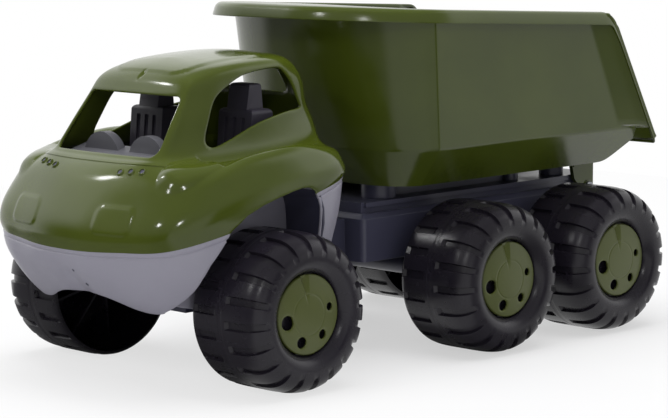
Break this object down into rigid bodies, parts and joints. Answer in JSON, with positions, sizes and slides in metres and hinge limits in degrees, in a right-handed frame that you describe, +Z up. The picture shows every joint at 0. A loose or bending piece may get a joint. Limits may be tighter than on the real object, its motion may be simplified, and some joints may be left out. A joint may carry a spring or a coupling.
{
  "type": "toy tipper truck",
  "caption": "Moulded plastic toy tipper truck in olive green with a hollow cab, a charcoal chassis, free-rolling wheels and an open bed that tips back on a rear hinge pin.",
  "frame": {"origin": "on the floor, under the middle of the whole truck's bounding box", "axes": "+X to the truck's left, +Y to its tail, +Z up"},
  "size_m": [0.3156, 0.578, 0.291],
  "materials": {
    "green_plastic": "glossy moulded olive green",
    "cap_green_plastic": "satin moulded olive green",
    "grey_plastic": "satin light grey",
    "charcoal_plastic": "satin charcoal",
    "wheel_plastic": "semi-gloss near black",
    "axle_steel": "drawn steel rod"
  },
  "bodies": {
    "chassis": {"chassis_frame": "charcoal_plastic", "axle_tubes": "charcoal_plastic", "bed_posts": "charcoal_plastic", "cab_body": "green_plastic", "cab_hull": "grey_plastic", "interior_floor": "charcoal_plastic", "dashboard": "charcoal_plastic", "driver_seat": "charcoal_plastic", "passenger_seat": "charcoal_plastic", "bed_hinge_pin": "axle_steel", "front_axle": "axle_steel", "middle_axle": "axle_steel", "rear_axle": "axle_steel"},
    "tipper": {"tipper_bed": "green_plastic"},
    "left_front_wheel": {"left_front_tyre": "wheel_plastic", "left_front_hub_cap": "cap_green_plastic"},
    "left_middle_wheel": {"left_middle_tyre": "wheel_plastic", "left_middle_hub_cap": "cap_green_plastic"},
    "left_rear_wheel": {"left_rear_tyre": "wheel_plastic", "left_rear_hub_cap": "cap_green_plastic"},
    "right_front_wheel": {"right_front_tyre": "wheel_plastic", "right_front_hub_cap": "cap_green_plastic"},
    "right_middle_wheel": {"right_middle_tyre": "wheel_plastic", "right_middle_hub_cap": "cap_green_plastic"},
    "right_rear_wheel": {"right_rear_tyre": "wheel_plastic", "right_rear_hub_cap": "cap_green_plastic"}
  },
  "joints": [
    {"name": "bed_tilt", "type": "hinge", "parent": "chassis", "child": "tipper", "pos_m": [0, 0.259, 0.1145], "axis": [-1, 0, 0], "range_deg": [0, 50]},
    {"name": "left_front_roll", "type": "hinge", "parent": "chassis", "child": "left_front_wheel", "pos_m": [0.12, -0.1685, 0.063], "axis": [1, 0, 0], "continuous": true},
    {"name": "left_middle_roll", "type": "hinge", "parent": "chassis", "child": "left_middle_wheel", "pos_m": [0.12, 0.0597, 0.063], "axis": [1, 0, 0], "continuous": true},
    {"name": "left_rear_roll", "type": "hinge", "parent": "chassis", "child": "left_rear_wheel", "pos_m": [0.12, 0.2023, 0.063], "axis": [1, 0, 0], "continuous": true},
    {"name": "right_front_roll", "type": "hinge", "parent": "chassis", "child": "right_front_wheel", "pos_m": [-0.12, -0.1685, 0.063], "axis": [1, 0, 0], "continuous": true},
    {"name": "right_middle_roll", "type": "hinge", "parent": "chassis", "child": "right_middle_wheel", "pos_m": [-0.12, 0.0597, 0.063], "axis": [1, 0, 0], "continuous": true},
    {"name": "right_rear_roll", "type": "hinge", "parent": "chassis", "child": "right_rear_wheel", "pos_m": [-0.12, 0.2023, 0.063], "axis": [1, 0, 0], "continuous": true}
  ]
}
